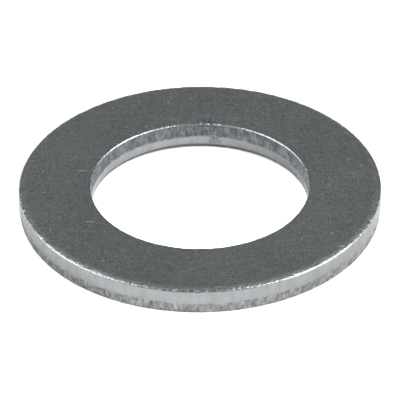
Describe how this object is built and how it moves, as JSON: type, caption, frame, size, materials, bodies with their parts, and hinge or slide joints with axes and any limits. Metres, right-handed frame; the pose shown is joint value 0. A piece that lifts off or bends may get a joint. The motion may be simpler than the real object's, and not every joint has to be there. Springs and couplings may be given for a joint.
{
  "type": "flat washer",
  "caption": "Plain round flat washer stamped from steel strip, with a central bolt hole, a rolled-over rim and dull grey faces.",
  "frame": {"origin": "centre of the bottom face, on the bore axis, where the washer rests", "axes": "+Z along the bore axis, from the bottom face, where the bore is rolled over, to the top face, where the rim is rolled over; X and Y are any two directions in the face, because the washer is round"},
  "size_m": [0.0388, 0.0388, 0.003],
  "materials": {
    "plain_steel": "plain uncoated stamped steel: dull grey faces, brighter burnished walls"
  },
  "bodies": {
    "root": {"flat_washer": "plain_steel"}
  },
  "joints": []
}
